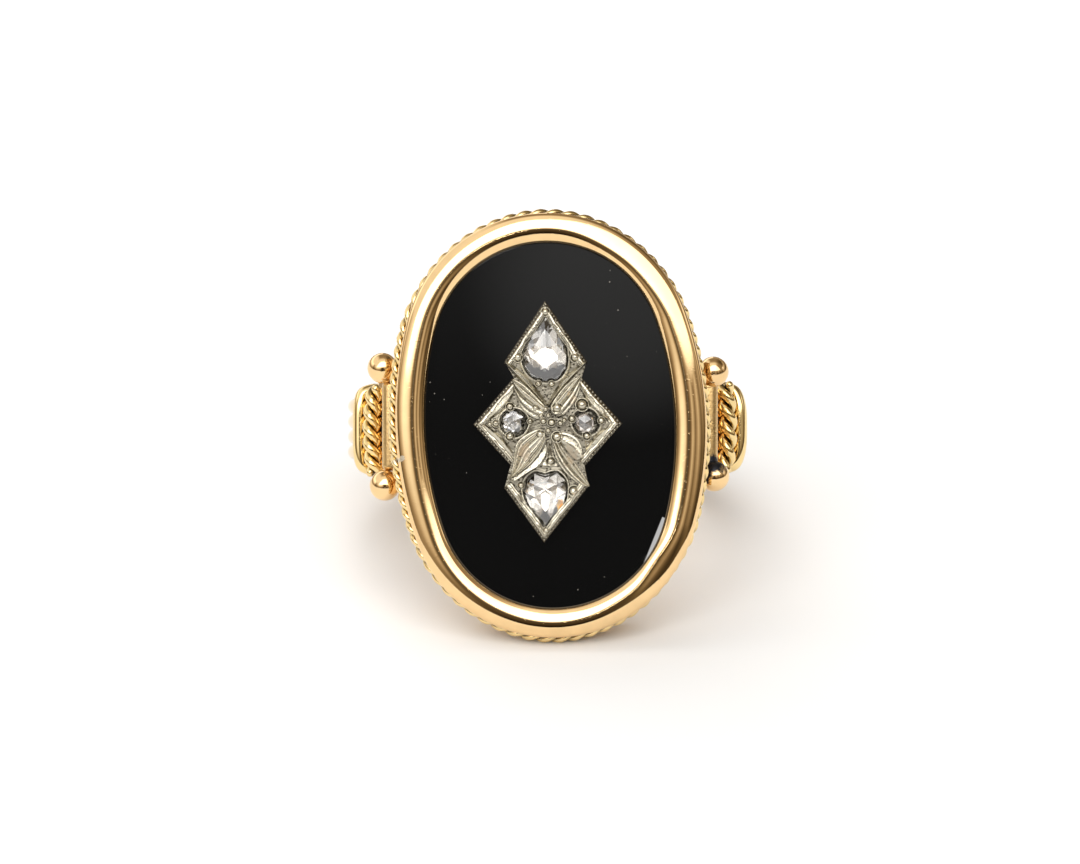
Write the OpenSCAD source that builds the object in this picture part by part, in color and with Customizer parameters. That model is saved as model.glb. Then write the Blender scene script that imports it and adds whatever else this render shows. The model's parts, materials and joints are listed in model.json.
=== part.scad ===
// Onyx ring. A gold hoop with reeded back carries an oval gold box. The box holds a plate
// of black onyx under a half-round rim, and a silver plaque with four rose-cut diamonds
// lies on the onyx. The ring is drawn round the finger's axis and then laid on its side,
// as it rests by itself: on the twisted wire at the box's lower end and the hoop's back.

/* [Hoop] */
// Radius of the finger hole
finger_r = 9; // [8.8:0.1:9.2]
// Thickness of the hoop at its back, over the ribs
hoop_back = 1.1; // [1:0.05:1.3]
// How far the hoop's outer circle is set towards the face
hoop_shift = 0.95; // [0.85:0.05:1.05]
// Thickness of the gold between the finger and the bezel's back
liner_t = 0.35; // [0.3:0.05:0.4]
// Number of ribs round the hoop
rib_count = 4; // [4:1:4]
// Distance between two ribs
rib_pitch = 0.83; // [0.7:0.01:0.9]
// How far a rib stands above the groove beside it
rib_depth = 0.3; // [0.2:0.05:0.35]

/* [Shoulders] */
// Angle of each collar round the hoop, from the middle of the face
collar_angle = 66.9; // [63:0.1:71]
// Thickness of a collar
collar_t = 0.8; // [0.6:0.05:1]
// Width of a collar across the ring
collar_w = 5; // [4.9:0.05:5.4]
// Radius of a collar's crowned edge
collar_crown_r = 4.2; // [3.6:0.1:5]
// How far a collar stands above the ribs
collar_proud = 0.35; // [0.2:0.05:0.5]
// Width of the shoulder neck across the ring
neck_w = 4.9; // [4.6:0.1:5]
// Thickness over the finger of the shoulder neck, at the side of the ring
neck_side = 1.43; // [1.3:0.01:1.5]
// Diameter of a thick twisted wire over its strands
thick_wire_d = 0.95; // [0.8:0.05:1.1]
// Length of a thick twisted wire
thick_wire_len = 4.8; // [4.6:0.1:5.2]
// Radius of a soldered ball
ball_r = 0.82; // [0.7:0.02:0.86]
// Distance from the finger's axis plane to a ball's middle, sideways
ball_x = 8.85; // [8.5:0.05:8.9]
// Distance between a ball's middle and the middle of the shoulder, across the ring
ball_across = 2.98; // [2.9:0.02:3.1]
// Depth of a ball's middle below the top of the onyx
ball_depth = 1.85; // [1.7:0.05:2]

/* [Bezel] */
// Half the width of the onyx that shows
onyx_half_w = 6.62; // [6.4:0.02:6.8]
// Half the length of the onyx that shows
onyx_half_l = 9.71; // [9.4:0.01:9.9]
// Turn of the bezel on the hoop, which leans its top to the left
bezel_turn = 2.5; // [0:0.5:3]
// Width of the half-round rim
rim_w = 1.6; // [1.5:0.05:1.7]
// Thickness of the box's floor under the onyx
floor_t = 0.6; // [0.5:0.05:0.7]
// How far the box's wall stands out from the onyx that shows, at its foot
wall_foot = 0.55; // [0.5:0.01:0.6]
// Height of the wall's slanted part
wall_slant = 1.9; // [1.7:0.1:2.1]
// Thickness of the onyx plate
onyx_t = 2.3; // [2.1:0.05:2.5]
// How far the onyx plate reaches under the rim
onyx_lip = 0.3; // [0.2:0.05:0.35]
// Diameter of the thin twisted wire over its strands
thin_wire_d = 0.6; // [0.5:0.02:0.62]
// How far the thin twisted wire stands out past the rim
thin_wire_proud = 0.27; // [0.2:0.01:0.3]
// Distance between the thin twisted wire and the rim above it
thin_wire_drop = 0.1; // [0.05:0.01:0.15]

/* [Plaque] */
// Thickness of the plaque's plate
plaque_t = 0.7; // [0.6:0.05:0.8]
// Silver left under a stone
pocket_floor = 0.32; // [0.25:0.01:0.4]
// Width of the plain border round each lozenge
border_w = 0.3; // [0.2:0.05:0.4]
// Depth of the ground inside the border
ground_depth = 0.12; // [0.1:0.02:0.2]
// Height of the leaves over the plate
leaf_rise = 0.2; // [0.1:0.05:0.3]
// Half the width of a leaf at its middle
leaf_half_w = 0.45; // [0.4:0.05:0.5]
// Radius of a grain that holds a stone
grain_r = 0.19; // [0.15:0.01:0.22]
// Diameter of the hidden posts under the plaque
post_d = 0.8; // [0.6:0.1:0.9]
// Space round a post in its hole through the onyx
post_play = 0.06; // [0.04:0.01:0.1]
// Height of a large diamond over its pocket's floor
large_stone_h = 0.8; // [0.7:0.05:0.9]
// Height of a small diamond over its pocket's floor
small_stone_h = 0.6; // [0.5:0.05:0.7]

/* [Fit] */
// Gap between pieces that are laid or set against each other
gap = 0.03; // [0.02:0.005:0.04]

/* [Hidden] */
$fn = 96;

gold = [0.93, 0.74, 0.42];
silver = [0.72, 0.68, 0.62];
black = [0.03, 0.03, 0.03];
clear_stone = [0.9, 0.92, 0.95];

// Hoop
hoop_r = finger_r + hoop_back + hoop_shift;
rib_merge = 0.015;
rib_r = rib_pitch / 2 + rib_merge;
rib_ring_r = hoop_r - rib_r;
band_r = hoop_r - rib_depth;
band_w = (rib_count - 0.15) * rib_pitch;
merge = 0.3;

// Oval of four arcs. Its arcs meet on the long sides of 7-24-25 triangles, so that
// the centres of the ends and sides lie 3.5 and 12 units from the middle, and the
// arcs' radii differ from the half width by half a unit and by 12 units.
unit = (onyx_half_l - onyx_half_w) / 3;
end_r = onyx_half_w - unit / 2;
side_r = onyx_half_w + 12 * unit;
end_centre = 3.5 * unit;
side_centre = 12 * unit;

// Heights in the face's frame, from the finger's axis out to the wearer's eye
base_z = finger_r + liner_t;
onyx_base_z = base_z + floor_t;
onyx_top_z = onyx_base_z + gap + onyx_t;
rim_z = onyx_top_z + gap;
rim_r = rim_w / 2;
wall_out = rim_w + thin_wire_proud - thin_wire_d - gap;
pocket_out = onyx_lip + gap;
thin_wire_r = thin_wire_d / 2;
thin_wire_out = rim_w + thin_wire_proud - thin_wire_r;
thin_wire_z = rim_z - thin_wire_r - thin_wire_drop;

// Shoulders, on arcs about the hoop's outer centre
neck_r = finger_r + neck_side;
collar_r = hoop_r + collar_proud;
thick_wire_r = thick_wire_d / 2;
thick_wire_path_r = neck_r + thick_wire_r + gap;
thick_wire_angle = collar_angle
    - (collar_t / 2 + thick_wire_r + 2 * gap) / thick_wire_path_r * 180 / PI;
neck_foot_z = base_z + floor_t / 3;
riser_foot_z = base_z + floor_t * 2 / 3;
riser_top_z = rim_z - 1.7;
riser_w = neck_w - 0.1;
riser_wall_x = onyx_half_w + pocket_out + 0.07;
riser_top_x = ball_x + 0.15;
riser_foot_x = 0.85 * neck_r;
riser_inner_x = onyx_half_w / 1.3;

// Rest: the lower tangent of the thin wire at the bezel's lower end and of the lowest
// rib at the hoop's back, both as circles in the ring's middle plane
wire_low = end_centre * cos(bezel_turn) + end_r + thin_wire_out;
rib_low = (rib_count - 1) / 2 * rib_pitch;
rib_back = rib_ring_r - hoop_shift;
rest_span = rib_back + thin_wire_z;
rest_rise = wire_low - rib_low;
tilt = atan2(rest_rise, rest_span)
    - asin((rib_r - thin_wire_r) / norm([rest_span, rest_rise]));
floor_z = -rib_low * cos(tilt) - rib_back * sin(tilt) - rib_r;
front_y = -rim_z * cos(tilt) - (wire_low - thin_wire_out + rim_r) * sin(tilt) - rim_r;
back_y = rib_back * cos(tilt) + rib_low * sin(tilt) + rib_r;

// Lozenges of the plaque: middle, half width, reach up and reach down
LOZENGE_X = 0;
LOZENGE_Y = 1;
LOZENGE_HALF_W = 2;
LOZENGE_UP = 3;
LOZENGE_DOWN = 4;
lozenges = [
    [-0.25, 3.34, 2.2, 3.28, 2.5],
    [-0.12, 0.05, 3.96, 4.6, 4.6],
    [-0.2, -3.26, 2.26, 2.5, 2.98]
];

// Tips of the four leaves, which all start at the plaque's middle
plaque_middle = [-0.15, 0.1];
leaf_tips = [[-1.9, 2.4], [1.58, 2.4], [-2.1, -2.75], [1.9, -2.95]];

// Stones: middle, radius of the round part, reach of the point, turn
STONE_X = 0;
STONE_Y = 1;
STONE_R = 2;
STONE_POINT = 3;
STONE_TURN = 4;
stone_top = [-0.3, 3.5, 1.2, 2.3, 0];
stone_bottom = [-0.24, -3.34, 1.2, 1.9, 180];
stone_left = [-1.89, 0.08, 0.7, 0.7, 0];
stone_right = [1.94, 0.15, 0.68, 0.68, 0];
stones = [stone_top, stone_bottom, stone_left, stone_right];

// Places of the grains on the plaque
grains = [
    [-1.94, 1.08], [-2.85, 0.13], [-2.08, -0.63], [1.68, 1.08], [1.15, 0.35],
    [2.72, 0.22], [2.0, -0.6], [-0.42, 0.9], [0.4, 0.85], [0.06, 0.13],
    [-0.46, -0.49], [0.4, -0.63], [-1.85, 3.5], [1.3, 3.5], [-0.22, 6.05],
    [0, -1.9], [-1.5, -3.2], [1.22, -3.5], [-0.28, -5.5]
];
post_places = [[-0.25, 2.9], [-0.2, -2.9]];

plaque_z = onyx_top_z + gap;
plaque_top_z = plaque_z + plaque_t;
pocket_z = plaque_z + pocket_floor;
girdle_h = 0.2;

// Lays the ring, drawn round the finger's axis, on its side as it rests
module lay_down() {
    translate([0, -(front_y + back_y) / 2, -floor_z])
        rotate([-tilt, 0, 0])
            children();
}

// Turns a drawing of the face, with its height along +Z, to look out along -Y
module on_face() {
    rotate([90, 0, 0])
        children();
}

// Carries a profile round the bezel's oval. The profile's X is the distance outwards
// from the edge of the onyx that shows. Each arc is a whole turn, cut by the lines from
// its centre through the places where the arcs meet, which rise by 7 in 24.
module round_bezel() {
    rotate([0, 0, bezel_turn])
        for (half_turn = [0, 180])
            rotate([0, 0, half_turn]) {
                intersection() {
                    translate([-side_centre, 0, 0])
                        rotate_extrude()
                            translate([side_r, 0])
                                children();
                    translate([-side_centre, 0, 0])
                        linear_extrude(2 * onyx_top_z)
                            polygon([[0, 0], [24, -7], [24, 7]]);
                }
                intersection() {
                    translate([0, end_centre, 0])
                        rotate_extrude()
                            translate([end_r, 0])
                                children();
                    translate([0, end_centre, 0])
                        linear_extrude(2 * onyx_top_z)
                            polygon([[0, 0], [24, 7], [24, 24], [-24, 24], [-24, 7]]);
                }
            }
}

// A plate with the bezel's oval outline, grown by out, from z = 0 up
module oval_plate(out, height) {
    meet_y = (side_r + out) * 7 / 25;
    half_w = onyx_half_w + out;
    rotate([0, 0, bezel_turn]) {
        intersection() {
            translate([-half_w, -meet_y, 0])
                cube([2 * half_w, 2 * meet_y, height]);
            translate([-side_centre, 0, 0])
                cylinder(r = side_r + out, h = height);
            translate([side_centre, 0, 0])
                cylinder(r = side_r + out, h = height);
        }
        for (end = [0, 180])
            rotate([0, 0, end])
                intersection() {
                    translate([0, end_centre, 0])
                        cylinder(r = end_r + out, h = height);
                    translate([-half_w, meet_y, 0])
                        cube([2 * half_w, half_w, height]);
                }
    }
}

// Half-round rim over a tapered wall, as a profile
module bezel_profile() {
    polygon([
        [wall_foot, base_z],
        [wall_out, base_z + wall_slant],
        [wall_out, rim_z + rim_r / 4],
        [pocket_out, rim_z + rim_r / 4],
        [pocket_out, onyx_base_z - floor_t / 2],
        [0, onyx_base_z - floor_t / 2],
        [0, base_z]
    ]);
    intersection() {
        translate([rim_r, rim_z])
            circle(r = rim_r);
        translate([0, rim_z])
            square([rim_w, rim_w]);
    }
}

module bezel_box() {
    on_face() {
        round_bezel()
            bezel_profile();
        translate([0, 0, base_z])
            oval_plate(pocket_out / 2, floor_t);
    }
}

// Profile of the reeded band: a flat strip with half-round ribs, at X from the centre
module reeded_profile() {
    inner_r = finger_r - hoop_shift - merge;
    translate([inner_r, -band_w / 2])
        square([band_r - inner_r, band_w]);
    for (i = [0 : rib_count - 1])
        translate([rib_ring_r, (i - (rib_count - 1) / 2) * rib_pitch])
            circle(r = rib_r);
}

// The band from one collar round the back to the other
module reeded_band() {
    translate([0, -hoop_shift, 0])
        rotate([0, 0, collar_angle - 90])
            rotate_extrude(angle = 360 - 2 * collar_angle)
                reeded_profile();
}

// Puts a drawing at an angle round the hoop: its X points outwards, its Z across the
// ring, and its Y along the hoop
module at_shoulder(angle) {
    translate([0, -hoop_shift, 0])
        rotate([0, 0, angle - 90])
            children();
}

module collar(side) {
    at_shoulder(side * collar_angle)
        intersection() {
            translate([collar_r - collar_crown_r, -collar_t / 2, 0])
                rotate([-90, 0, 0])
                    cylinder(r = collar_crown_r, h = collar_t);
            translate([0, -collar_t, -collar_w / 2])
                cube([2 * collar_r, 2 * collar_t, collar_w]);
        }
}

// The neck under both shoulders and the bezel: a ball's zone between the collars
module neck() {
    reach = 1.3 * hoop_r;
    fan_x = reach * sin(collar_angle);
    fan_y = -hoop_shift - reach * cos(collar_angle);
    intersection() {
        translate([0, -hoop_shift, 0])
            sphere(r = neck_r);
        translate([0, 0, -neck_w / 2])
            linear_extrude(neck_w)
                polygon([
                    [0, -hoop_shift],
                    [fan_x, fan_y],
                    [fan_x, -neck_foot_z],
                    [-fan_x, -neck_foot_z],
                    [-fan_x, fan_y]
                ]);
    }
}

// The upright part of a shoulder, from the neck up against the bezel's wall
module shoulder_riser(side) {
    foot_y = -hoop_shift - sqrt(neck_r * neck_r - riser_foot_x * riser_foot_x);
    mirror([side < 0 ? 1 : 0, 0, 0])
        translate([0, 0, -riser_w / 2])
            linear_extrude(riser_w)
                polygon([
                    [riser_inner_x, foot_y],
                    [riser_inner_x, -riser_foot_z],
                    [riser_wall_x, -riser_foot_z],
                    [riser_wall_x, -riser_top_z],
                    [riser_top_x, -riser_top_z],
                    [riser_foot_x, foot_y]
                ]);
}

module balls() {
    for (side = [-1, 1], across = [-1, 1])
        translate([side * ball_x, -(onyx_top_z - ball_depth), across * ball_across])
            sphere(r = ball_r);
}

module ring_mount() {
    color(gold)
        lay_down()
            difference() {
                union() {
                    reeded_band();
                    neck();
                    bezel_box();
                    balls();
                    for (side = [-1, 1]) {
                        collar(side);
                        shoulder_riser(side);
                    }
                }
                translate([0, 0, -collar_w])
                    cylinder(r = finger_r, h = 2 * collar_w);
            }
}

module bezel_twisted_wire() {
    color(gold)
        lay_down()
            on_face()
                round_bezel()
                    translate([thin_wire_out, thin_wire_z])
                        circle(r = thin_wire_r);
}

// A thick wire as a plain tube across the shoulder, arched like the neck under it
module shoulder_wire(side) {
    half_angle = asin(thick_wire_len / 2 / thick_wire_path_r);
    color(gold)
        lay_down()
            at_shoulder(side * thick_wire_angle)
                rotate([90, 0, 0])
                    rotate([0, 0, -half_angle])
                        rotate_extrude(angle = 2 * half_angle)
                            translate([thick_wire_path_r, 0])
                                circle(r = thick_wire_r);
}

module post_holes() {
    for (p = post_places)
        translate([p.x, p.y, onyx_base_z - merge])
            cylinder(d = post_d + 2 * post_play, h = onyx_t + 3 * merge);
}

module onyx_plate() {
    color(black)
        lay_down()
            on_face()
                difference() {
                    translate([0, 0, onyx_base_z + gap])
                        oval_plate(onyx_lip, onyx_t);
                    post_holes();
                }
}

// Outline of a stone: a circle drawn out to a point along +Y, in 12 corners
function stone_outline(r, point) = [
    for (t = [0 : 30 : 330])
        [-r * sin(t), r * cos(t) + (point - r) * pow(max(cos(t), 0), 4)]
];

module stone_pocket(stone) {
    translate([stone[STONE_X], stone[STONE_Y], pocket_z])
        rotate([0, 0, stone[STONE_TURN]])
            linear_extrude(2 * plaque_t)
                polygon(stone_outline(stone[STONE_R] + gap, stone[STONE_POINT] + gap));
}

// A rose cut: a girdle of 12 corners, a ring of 6 and one point, in 24 facets
module rose_cut(stone, height) {
    edge = stone_outline(stone[STONE_R], stone[STONE_POINT]);
    heart = [0, (stone[STONE_POINT] - stone[STONE_R]) * 0.3];
    ring_share = 0.56;
    ring_z = girdle_h + 0.62 * (height - girdle_h);
    ring = [for (i = [0 : 2 : 10]) heart + (edge[i] - heart) * ring_share];
    points = concat(
        [for (p = edge) [p.x, p.y, 0]],
        [for (p = edge) [p.x, p.y, girdle_h]],
        [for (p = ring) [p.x, p.y, ring_z]],
        [[heart.x, heart.y, height]]
    );
    faces = concat(
        [[for (i = [0 : 11]) i]],
        [for (i = [0 : 11]) [i, 12 + i, 12 + (i + 1) % 12, (i + 1) % 12]],
        [for (i = [0 : 5]) [12 + 2 * i, 24 + i, 13 + 2 * i]],
        [for (i = [0 : 5]) [13 + 2 * i, 24 + i, 24 + (i + 1) % 6]],
        [for (i = [0 : 5]) [13 + 2 * i, 24 + (i + 1) % 6, 12 + (2 * i + 2) % 12]],
        [for (i = [0 : 5]) [24 + i, 30, 24 + (i + 1) % 6]]
    );
    translate([stone[STONE_X], stone[STONE_Y], pocket_z + gap])
        rotate([0, 0, stone[STONE_TURN]])
            polyhedron(points, faces);
}

module diamond(stone, height) {
    color(clear_stone)
        lay_down()
            on_face()
                rose_cut(stone, height);
}

// A lozenge of the plaque with its sides moved in by inset
module lozenge(row, inset, height) {
    share = 1 - inset * norm([row[LOZENGE_HALF_W], row[LOZENGE_UP]])
        / (row[LOZENGE_HALF_W] * row[LOZENGE_UP]);
    translate([row[LOZENGE_X], row[LOZENGE_Y], 0])
        linear_extrude(height)
            polygon([
                [0, row[LOZENGE_UP] * share],
                [-row[LOZENGE_HALF_W] * share, 0],
                [0, -row[LOZENGE_DOWN] * share],
                [row[LOZENGE_HALF_W] * share, 0]
            ]);
}

// A leaf from the plaque's middle to its tip, widest halfway
module leaf(tip) {
    leaf_h = plaque_t / 2 + leaf_rise;
    hull() {
        translate(plaque_middle)
            cylinder(r = leaf_half_w / 2, h = leaf_h, $fn = 24);
        translate((plaque_middle + tip) / 2)
            cylinder(r1 = leaf_half_w, r2 = leaf_half_w * 2 / 3, h = leaf_h, $fn = 24);
        translate(tip)
            cylinder(r = leaf_half_w / 4, h = leaf_h - leaf_rise / 2, $fn = 24);
    }
}

module silver_plaque() {
    color(silver)
        lay_down()
            on_face()
                difference() {
                    union() {
                        difference() {
                            for (row = lozenges)
                                translate([0, 0, plaque_z])
                                    lozenge(row, 0, plaque_t);
                            for (row = lozenges)
                                translate([0, 0, plaque_top_z - ground_depth])
                                    lozenge(row, border_w, plaque_t);
                        }
                        for (tip = leaf_tips)
                            translate([0, 0, plaque_z + plaque_t / 2])
                                leaf(tip);
                        for (g = grains)
                            translate([g.x, g.y, plaque_top_z])
                                sphere(r = grain_r);
                        for (p = post_places)
                            translate([p.x, p.y, onyx_base_z + 2 * gap])
                                cylinder(d = post_d, h = onyx_t + pocket_floor / 2);
                    }
                    for (stone = stones)
                        stone_pocket(stone);
                }
}

ring_mount();
bezel_twisted_wire();
shoulder_wire(-1);  // shoulder_twisted_wire_left
shoulder_wire(1);  // shoulder_twisted_wire_right
onyx_plate();
silver_plaque();
diamond(stone_top, large_stone_h);  // diamond_top
diamond(stone_left, small_stone_h);  // diamond_left
diamond(stone_right, small_stone_h);  // diamond_right
diamond(stone_bottom, large_stone_h);  // diamond_bottom
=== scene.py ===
"""Onyx ring: a gold hoop with an oval gold box, a black onyx plate under a half-round rim,
and a silver plaque of three lozenges with rose-cut diamonds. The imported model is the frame,
and every piece below is worked out in it, in the order in which a maker puts a ring together.
"""
import json
import bpy
import numpy as np
from mathutils import Matrix


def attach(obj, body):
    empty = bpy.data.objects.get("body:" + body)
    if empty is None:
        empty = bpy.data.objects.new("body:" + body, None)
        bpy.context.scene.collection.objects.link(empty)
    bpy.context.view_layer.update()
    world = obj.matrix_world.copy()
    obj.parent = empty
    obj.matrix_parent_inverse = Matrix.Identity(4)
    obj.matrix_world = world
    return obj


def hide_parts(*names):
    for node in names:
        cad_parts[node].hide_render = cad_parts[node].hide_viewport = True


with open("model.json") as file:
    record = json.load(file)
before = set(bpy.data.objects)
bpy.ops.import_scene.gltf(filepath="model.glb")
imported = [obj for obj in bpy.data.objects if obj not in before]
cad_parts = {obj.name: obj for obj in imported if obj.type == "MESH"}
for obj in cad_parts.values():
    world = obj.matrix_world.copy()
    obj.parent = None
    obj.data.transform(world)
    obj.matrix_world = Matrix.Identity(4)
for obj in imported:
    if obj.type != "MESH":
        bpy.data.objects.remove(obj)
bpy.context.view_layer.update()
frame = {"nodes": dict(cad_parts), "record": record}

# The back plate, the wall and the half-round rim of the bezel. The box is raised from gold
# sheet, and the rim is a half-round wire soldered on its edge and pushed over the onyx.
# The finger hole's record gives the face's frame: x sideways, y up the face, z towards the eye.
MM = 0.001
finger_hole = next(m for m in frame["record"]["mounts"] if m["name"] == "finger_hole")
FINGER_MIDDLE = np.array(finger_hole["pos_m"]) / MM
UP_FACE = np.array(finger_hole["axis"])
SIDEWAYS = np.array([1.0, 0.0, 0.0])
OUTWARD = np.cross(SIDEWAYS, UP_FACE)
FINGER_R = finger_hole["dims"]["r_mm"]

# Heights over the finger's axis. Pieces that lie on each other are a gap apart.
GAP, BACK_T, FLOOR_T, ONYX_T = 0.03, 0.35, 0.6, 2.3
BACK_Z = FINGER_R + BACK_T
FLOOR_Z = BACK_Z + FLOOR_T
ONYX_TOP = FLOOR_Z + GAP + ONYX_T
RIM_Z = ONYX_TOP + GAP

# The oval of the onyx that shows. Its arcs meet on the long sides of triangles of 7, 24 and 25,
# so their middles lie 3.5 and 12 units from the oval's own.
BEZEL_TURN, ONYX_HALF_W, ONYX_HALF_L = np.radians(2.5), 6.62, 9.71
UNIT, MEET = (ONYX_HALF_L - ONYX_HALF_W) / 3, np.arctan2(7, 24)
END_R, END_CENTRE = ONYX_HALF_W - UNIT / 2, 3.5 * UNIT
SIDE_R, SIDE_CENTRE = ONYX_HALF_W + 12 * UNIT, 12 * UNIT

# How far the bezel's parts lie outside that oval, and the height of the wall's slanted foot.
RIM_R, POCKET_OUT, WALL_OUT, WALL_FOOT, WALL_SLANT = 0.8, 0.33, 1.12, 0.55, 1.9


def on_face(x, y, z):
    """A place of the face's frame in the whole part's frame, in millimetres."""
    return FINGER_MIDDLE + x * SIDEWAYS + y * UP_FACE + z * OUTWARD


def oval(share, out):
    """The bezel's oval, grown by out, at shares of its way round. A place is an arc's centre
    plus its radius times the outward normal, and the normal turns evenly along each arc. Two
    long arcs make the sides, and two short ones the ends."""
    side, end = SIDE_R * 2 * MEET, END_R * (np.pi - 2 * MEET)
    stops = np.cumsum([0, side / 2, end, side, end, side / 2]) / (2 * (side + end))
    turns = [0, MEET, np.pi - MEET, np.pi + MEET, 2 * np.pi - MEET, 2 * np.pi]
    normal = np.interp(share % 1, stops, turns)
    on_side = np.abs(np.cos(normal)) > np.cos(MEET) - 1e-9
    x = np.where(on_side, -np.sign(np.cos(normal)) * SIDE_CENTRE, 0)
    y = np.where(on_side, 0, np.sign(np.sin(normal)) * END_CENTRE)
    radius = np.where(on_side, SIDE_R, END_R) + out
    c, s = np.cos(BEZEL_TURN), np.sin(BEZEL_TURN)
    x, y = x + radius * np.cos(normal), y + radius * np.sin(normal)
    return x * c - y * s, x * s + y * c, normal + BEZEL_TURN


def eased(corners, radius, steps=5):
    """A bent line with its inner corners rounded. Each corner gives way to a parabola that
    leaves and meets the straight runs at radius from it, with one more point on each run."""
    corners = np.array(corners, float)
    line, s = [corners[:1]], np.linspace(0, 1, steps)[:, None]
    for before, corner, after in zip(corners, corners[1:], corners[2:]):
        back, ahead = before - corner, after - corner
        back = back * min(radius / np.linalg.norm(back), 0.4)
        ahead = ahead * min(radius / np.linalg.norm(ahead), 0.4)
        bend = (1 - s) ** 2 * (corner + back) + 2 * s * (1 - s) * corner + s ** 2 * (corner + ahead)
        line += [corner[None] + 1.2 * back, bend, corner[None] + 1.2 * ahead]
    return np.vstack(line + [corners[-1:]])


def shell(points, ring=False):
    """A tube of points, one closed loop to each row. Each four neighbours make a face. The
    first and last loops are closed by a fan to their middles, or joined where ring is set."""
    rows, cols, width = points.shape
    i, j = np.arange(rows - (not ring))[:, None], np.arange(cols)[None]
    on, over = (i + 1) % rows, (j + 1) % cols
    quads = np.stack([i * cols + j, i * cols + over, on * cols + over, on * cols + j], -1)
    places, faces = points.reshape(-1, width), [quads.reshape(-1, 4)]
    if not ring:
        middles = points[[0, -1]].mean(1)
        loop, last = np.arange(cols), (rows - 1) * cols
        over = (loop + 1) % cols
        first = np.full(cols, rows * cols)
        faces.append(np.stack([over, loop, first], -1))
        faces.append(np.stack([loop + last, over + last, first + 1], -1))
        places = np.vstack([places, middles])
    return outwards(places, faces)


def outwards(places, faces):
    """The same faces, all turned over if they enclose a negative volume. The volume is the
    sum, over each face's fan of triangles, of the first corner times the others' product."""
    volume = 0.0
    for group in faces:
        for k in range(2, group.shape[1]):
            a, b, c = (places[group[:, m], :3] for m in (0, k - 1, k))
            volume += np.einsum("ij,ij->i", a, np.cross(b, c)).sum()
    return places, [group[:, ::-1] if volume < 0 else group for group in faces]


def in_scene(name, data):
    """A new object with this data, linked to the scene."""
    made = bpy.data.objects.new(name, data)
    bpy.context.scene.collection.objects.link(made)
    return made


def put(name, shells, material, nodes, smooth=True):
    """Makes one piece of several shells given in the face's frame, in millimetres. A fourth
    number at a point says how deep it lies in a recess. The metals darken there: painted shade
    in creases and between parts, and tarnish where polishing doesn't reach."""
    places, faces, start = [], [], 0
    for points, groups in shells:
        if points.shape[1] == 3:
            points = np.hstack([points, np.zeros((len(points), 1))])
        places.append(points)
        faces += [group + start for group in groups]
        start += len(points)
    places = np.vstack(places)
    at = on_face(*places.T[:3, :, None])
    mesh = bpy.data.meshes.new(name)
    mesh.from_pydata((at * MM).tolist(), [], [f for group in faces for f in group.tolist()])
    mesh.attributes.new("recess", "FLOAT", "POINT").data.foreach_set("value", places[:, 3])
    mesh.polygons.foreach_set("use_smooth", np.full(len(mesh.polygons), smooth))
    mesh.update()
    mesh.materials.append(material)
    piece = in_scene(name, mesh)
    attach(piece, "root")
    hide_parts(*nodes)


def node_group(name, inputs, outputs):
    """An empty node group with inputs, given as name and value, and its number outputs."""
    tree = bpy.data.node_groups.new(name, "ShaderNodeTree")
    for label, value in inputs.items():
        kind = "NodeSocketVector" if isinstance(value, tuple) else "NodeSocketFloat"
        tree.interface.new_socket(label, in_out="INPUT", socket_type=kind).default_value = value
    for label in outputs:
        tree.interface.new_socket(label, in_out="OUTPUT", socket_type="NodeSocketFloat")
    return tree, tree.nodes.new("NodeGroupInput"), tree.nodes.new("NodeGroupOutput")


def feed(tree, made, **values):
    """Sets a node's inputs, given by name or, as i0 and so on, by number. A number or colour is
    set on the input's socket, and a socket is linked to it."""
    for key, value in values.items():
        key = int(key[1:]) if key[0] == "i" and key[1:].isdigit() else key.replace("_", " ")
        if isinstance(value, bpy.types.NodeSocket):
            tree.links.new(value, made.inputs[key])
        else:
            made.inputs[key].default_value = value


def node(tree, kind, **values):
    """Adds a node. A value with a known property's name sets it, and the others are inputs."""
    made = tree.nodes.new("ShaderNode" + kind)
    for key in [key for key in values if hasattr(made, key)]:
        setattr(made, key, values.pop(key))
    feed(tree, made, **values)
    return made


def span(tree, value, low, high, to_low=0.0, to_high=1.0):
    """A number mapped from between low and high to between two others, and kept there."""
    return node(tree, "MapRange", Value=value, From_Min=low, From_Max=high, To_Min=to_low,
                To_Max=to_high).outputs[0]


def joined(tree, operation, *values):
    """Numbers joined by one operation, from the first to the last."""
    total = values[0]
    for value in values[1:]:
        total = node(tree, "Math", operation=operation, i0=total, i1=value).outputs[0]
    return total


def blend(tree, share, first, second):
    """A colour between two, by the second's share. Each is a socket, or red, green and blue."""
    first, second = (c if isinstance(c, bpy.types.NodeSocket) else (*c, 1) for c in (first, second))
    return node(tree, "MixRGB", Fac=share, Color1=first, Color2=second).outputs[0]


def principled(name, **values):
    """A new material, its node tree and its shader, which has these values."""
    material = bpy.data.materials.new(name)
    material.use_nodes = True
    tree = material.node_tree
    shader = tree.nodes["Principled BSDF"]
    feed(tree, shader, **values)
    return material, tree, shader


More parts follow.
